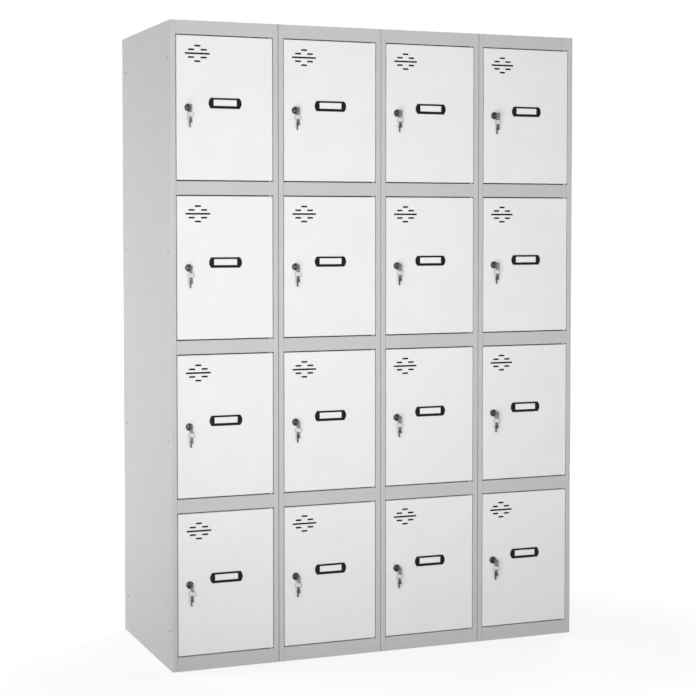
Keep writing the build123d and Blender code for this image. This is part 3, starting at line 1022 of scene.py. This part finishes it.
# %% The key in the lock
KEY_THICK = 0.002
BLADE_HEIGHT = 0.007
BLADE_TIP = FACE_Y + 0.0085
BOW_START = FACE_Y - 0.012
BOW_END = FACE_Y - 0.038
BOW_TOP = LOCK_Z + 0.0075
BOW_FOOT = LOCK_Z - 0.014
BOW_ROUND = 0.00375
BLADE_ROUND = 0.0025
HOLE_OUT = 0.025
HOLE_DROP = 0.0099
HOLE_RADIUS = 0.0025
COIN_RIM = 0.0022
COIN_SINK = 0.0003
DRILL_SIDES = 24


def drill(piece, place, radius):
    """Drill a round hole through a piece, from side to side."""
    cut(
        piece,
        bpy.ops.mesh.primitive_cylinder_add,
        vertices=DRILL_SIDES,
        radius=radius,
        depth=CUTTER_LENGTH,
        location=place,
        rotation=(0, math.pi / 2, 0),
    )


def model_key():
    """The key standing in the lock."""
    middle = ((BOW_START + BOW_END) / 2, (BOW_TOP + BOW_FOOT) / 2)
    piece = begin(
        bpy.ops.mesh.primitive_cube_add,
        (KEY_THICK, BOW_START - BOW_END, BOW_TOP - BOW_FOOT),
        (LOCK_X, *middle),
        size=1,
    )
    for side in (-1, 1):
        bpy.ops.mesh.select_all(action="SELECT")
        level = LOCK_Z + side * BLADE_HEIGHT / 2
        bpy.ops.mesh.bisect(plane_co=(LOCK_X, FACE_Y, level), plane_no=(0, 0, 1))
    pick(piece, "faces", lambda place, way: way.y > ALONG and near(place.z, LOCK_Z, ABOUT))
    push(y=BLADE_TIP - BOW_START)
    pick(piece, "edges", lambda place, way: abs(way.x) > ALONG and near(place.y, BLADE_TIP))
    round_edges(BLADE_ROUND, steps=4)

    def at_corner(place, way):
        at_end = near(place.y, BOW_START) or near(place.y, BOW_END)
        at_level = near(place.z, BOW_TOP) or near(place.z, BOW_FOOT)
        return abs(way.x) > ALONG and at_end and at_level

    pick(piece, "edges", at_corner)
    round_edges(BOW_ROUND, steps=5)
    for side in (-1, 1):
        pick(piece, "faces", lambda place, way: way.x * side > ALONG and place.y < BOW_START)
        bpy.ops.mesh.inset(thickness=COIN_RIM, depth=0)
        push(x=-side * COIN_SINK)
    drill(piece, (LOCK_X, FACE_Y - HOLE_OUT, LOCK_Z - HOLE_DROP), HOLE_RADIUS)
    ease_sharp_edges()
    return finish_piece(piece, "key", key_nickel)


key = model_key()

# %% [markdown]
# ## The ring
#
# A split ring is two turns of wire, one behind the other. A small circle, the wire's section, is
# carried round twice by a Screw modifier with a little advance on each turn, and the two cut
# ends are closed.

# %% Split ring
RING_RADIUS = 0.0092
WIRE_RADIUS = 0.00042
TURN_ADVANCE = 2.05 * WIRE_RADIUS
WIRE_SIDES = 8
RING_TURNS = 2
RING_STEPS = 40
RING_DROP = 0.0206
RING_PLACE = Vector((LOCK_X, FACE_Y - HOLE_OUT, LOCK_Z - RING_DROP))


def model_ring():
    """The split ring hanging in the key's hole, facing forwards."""
    bpy.ops.object.select_all(action="DESELECT")
    bpy.ops.mesh.primitive_circle_add(vertices=WIRE_SIDES, radius=WIRE_RADIUS, location=RING_PLACE)
    piece = bpy.context.object
    bpy.ops.object.mode_set(mode="EDIT")
    bpy.ops.transform.translate(value=(RING_RADIUS, -TURN_ADVANCE, 0))
    bpy.ops.object.mode_set(mode="OBJECT")
    turns = piece.modifiers.new("turns", "SCREW")
    turns.axis = "Y"
    turns.iterations = RING_TURNS
    turns.screw_offset = TURN_ADVANCE
    turns.steps = RING_STEPS
    turns.render_steps = RING_STEPS
    bpy.ops.object.modifier_apply(modifier=turns.name)
    bpy.ops.object.transform_apply(location=True, rotation=True, scale=True)
    bpy.ops.object.mode_set(mode="EDIT")
    bpy.ops.mesh.select_all(action="SELECT")
    bpy.ops.mesh.fill_holes(sides=0)
    return finish_piece(piece, "key_ring", worn_nickel, smooth_angle=50)


key_ring = model_ring()

# %% [markdown]
# ## The spare key
#
# It hangs from the foot of the ring, blade down: a bow that is narrow at its hole and broad at
# its shoulder, and a blade set towards one side, with its bitting filed into the edge. The bow is
# a block whose top is drawn in, and the blade is drawn down out of its foot. The blade's edge is
# then divided, and every other point is moved in. Last, the key is turned a little about the
# upright line through its hole, as it hangs.

# %% Spare key: bow and blade
SPARE_BOW = 0.017
SPARE_TOP_WIDTH = 0.0075
SPARE_WIDTH = 0.016
SPARE_BLADE = 0.0125
SPARE_BLADE_WIDTH = 0.0058
SPARE_BLADE_SHIFT = 0.0030
SPARE_HOLE_DROP = 0.0042
BITTING_CUTS = 5
BITTING_DEPTH = 0.0011
HANG = RING_PLACE - Vector((0, 0, RING_RADIUS))
SPARE_TOP = HANG.z + SPARE_HOLE_DROP
SPARE_FOOT = SPARE_TOP - SPARE_BOW
SPARE_TIP = SPARE_FOOT - SPARE_BLADE


def draw_spare_key():
    """The spare key's bow, with its top drawn in and its blade drawn down out of its foot."""
    piece = begin(
        bpy.ops.mesh.primitive_cube_add,
        (KEY_THICK, SPARE_WIDTH, SPARE_BOW),
        (HANG.x, HANG.y, (SPARE_TOP + SPARE_FOOT) / 2),
        size=1,
    )
    pick(piece, "faces", lambda _, way: way.z > ALONG)
    bpy.ops.transform.resize(value=(1, SPARE_TOP_WIDTH / SPARE_WIDTH, 1))
    blade_y = HANG.y + SPARE_BLADE_SHIFT
    for side in (-1, 1):
        bpy.ops.mesh.select_all(action="SELECT")
        line = (HANG.x, blade_y + side * SPARE_BLADE_WIDTH / 2, HANG.z)
        bpy.ops.mesh.bisect(plane_co=line, plane_no=(0, 1, 0))
    pick(piece, "faces", lambda place, way: way.z < -ALONG and near(place.y, blade_y, ABOUT))
    push(z=-SPARE_BLADE)
    return piece


def file_bitting(piece):
    """Divide the blade's front edge, and move every other point in."""
    edge = HANG.y + SPARE_BLADE_SHIFT - SPARE_BLADE_WIDTH / 2

    def on_blade_edge(place, way):
        return abs(way.z) > ALONG and near(place.y, edge) and place.z < SPARE_FOOT

    pick(piece, "edges", on_blade_edge)
    bpy.ops.mesh.subdivide(number_cuts=BITTING_CUTS)
    pitch = SPARE_BLADE / (BITTING_CUTS + 1)

    def is_cut(place, _):
        step = round((SPARE_FOOT - place.z) / pitch)
        return near(place.y, edge) and 0 < step <= BITTING_CUTS and step % 2 == 0

    pick(piece, "verts", is_cut)
    bpy.ops.transform.translate(value=(0, BITTING_DEPTH, 0))


spare = draw_spare_key()
file_bitting(spare)

# %% Spare key: rounding, coining and turning
SPARE_ROUND = 0.0012
SPARE_COIN_RIM = 0.0007
SPARE_HOLE_RADIUS = 0.0021
SPARE_TURN = math.radians(18)


def round_spare_key(piece):
    """Round the corners of the bow and of the blade's tip, and coin the bow's sides."""

    def at_corner(place, way):
        out = abs(place.y - HANG.y)
        at_foot = near(place.z, SPARE_FOOT) and near(out, SPARE_WIDTH / 2)
        at_top = near(place.z, SPARE_TOP) and near(out, SPARE_TOP_WIDTH / 2)
        return abs(way.x) > ALONG and (at_foot or at_top or near(place.z, SPARE_TIP))

    pick(piece, "edges", at_corner)
    round_edges(SPARE_ROUND, steps=4)
    for side in (-1, 1):
        pick(piece, "faces", lambda place, way: way.x * side > ALONG and place.z > SPARE_FOOT)
        bpy.ops.mesh.inset(thickness=SPARE_COIN_RIM, depth=0)
        push(x=-side * COIN_SINK)


def swing_spare_key(piece):
    """Turn the key about the upright line through its hole, its front edge to the right."""
    bpy.ops.mesh.select_all(action="SELECT")
    bpy.ops.transform.rotate(value=-SPARE_TURN, orient_axis="Z", center_override=HANG)


round_spare_key(spare)
drill(spare, HANG, SPARE_HOLE_RADIUS)
ease_sharp_edges()
swing_spare_key(spare)
spare_key = finish_piece(spare, "spare_key", worn_nickel)

# %% [markdown]
# ## The other fifteen doors
#
# Each door gets copies of all these pieces with their own meshes, moved by the distance between
# the doors. What is fixed to the door rides on its leaf, and what turns with the plug rides on
# the plug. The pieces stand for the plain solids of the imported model, which are then hidden.

# %% Copy, place and attach the pieces
LEAF_PIECES = {
    "label_frame": "black_plastic",
    "card": "door_paint",
    "lock_case": "lock_metal",
    "lock_nut": "lock_metal",
    "door_pads": "black_plastic",
}
PLUG_PIECES = {
    "lock_plug": "lock_metal",
    "cam": "lock_metal",
    "cam_screw": "lock_metal",
    "key": "lock_metal",
    "key_ring": "lock_metal",
    "spare_key": "lock_metal",
}


def copy_to_door(master, kind, door_name):
    """A copy of a master piece, with its own mesh, at its place on another door."""
    piece = bpy.data.objects.new(f"{kind}_{door_name}", master.data.copy())
    piece.data.transform(Matrix.Translation(offsets[door_name]))
    bpy.context.scene.collection.objects.link(piece)
    return piece


def fit_out(door_name):
    """All the pieces of one door, riding on its leaf or its plug."""
    for kinds, body, node in ((LEAF_PIECES, "leaf", "fittings"), (PLUG_PIECES, "plug", "lock")):
        for kind, slot in kinds.items():
            piece = copy_to_door(masters[kind], kind, door_name)
            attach(piece, f"{body}_{door_name}")
            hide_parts(f"{node}_{door_name}")


on_leaf = (label_frame, card, lock_case, lock_nut, door_pads)
on_plug = (lock_plug, cam, cam_screw, key, key_ring, spare_key)
masters = {piece.name: piece for piece in on_leaf + on_plug}
for door_name in DOORS:
    fit_out(door_name)
for master in masters.values():
    bpy.data.objects.remove(master)
print("fitted out", len(DOORS), "doors")

# %% [markdown]
# ## Caps on the stiles
#
# The modules' walls are folded round into hollow stiles at the front, which would be open at
# their upper ends. A small pressed cap closes each one, flush with the top. It could be a bare
# plate, but it is drawn as it is made, with rounded corners and a hollow skirt that grips inside
# the stile. The hinge-side stile has a lip across its back, so its cap is less deep.

# %% Model a stile cap
CAP_PLAY = 0.0012
CAP_WIDTH = 0.0126
CAP_DEPTHS = {"strike": 0.0170, "hinge": 0.0157}
CAP_THICK = 0.0012
CAP_SINK = 0.0002
CAP_ROUND = 0.0010
SKIRT_WALL = 0.0009
SKIRT_DROP = 0.0060


def model_cap(side):
    """A cap at the left corner of the first module: a rounded plate with a hollow skirt."""
    depth = CAP_DEPTHS[side]
    middle = (
        cad_box[0][0] + CAP_PLAY + CAP_WIDTH / 2,
        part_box("tops")[0].y + CAP_PLAY + depth / 2,
        cad_box[1][2] - CAP_SINK - CAP_THICK / 2,
    )
    piece = begin(bpy.ops.mesh.primitive_cube_add, (CAP_WIDTH, depth, CAP_THICK), middle, size=1)
    pick(piece, "faces", lambda _, way: way.z < -ALONG)
    bpy.ops.mesh.inset(thickness=SKIRT_WALL, depth=0)
    push(z=-SKIRT_DROP)
    bpy.ops.mesh.inset(thickness=SKIRT_WALL, depth=0)
    push(z=SKIRT_DROP)
    pick(piece, "edges", lambda place, way: abs(way.z) > ALONG and near(place.z, middle[2]))
    round_edges(CAP_ROUND, steps=3)
    pick(piece, "edges", lambda place, way: abs(way.z) < ACROSS and place.z > middle[2])
    round_edges(EASE)
    return finish_piece(piece, f"stile_cap_{side}", body_coat)


# %% Cap the stiles of the four modules
CAP_SHIFTS = {"strike": 0.0, "hinge": MODULE - 2 * CAP_PLAY - CAP_WIDTH}

for side, shift in CAP_SHIFTS.items():
    master = model_cap(side)
    for column in range(COLUMNS):
        cap = bpy.data.objects.new(f"{master.name}_{column + 1}", master.data.copy())
        cap.data.transform(Matrix.Translation((shift + column * MODULE, 0, 0)))
        bpy.context.scene.collection.objects.link(cap)
        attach(cap, "cabinet")
    bpy.data.objects.remove(master)
print("capped", 2 * COLUMNS, "stiles")
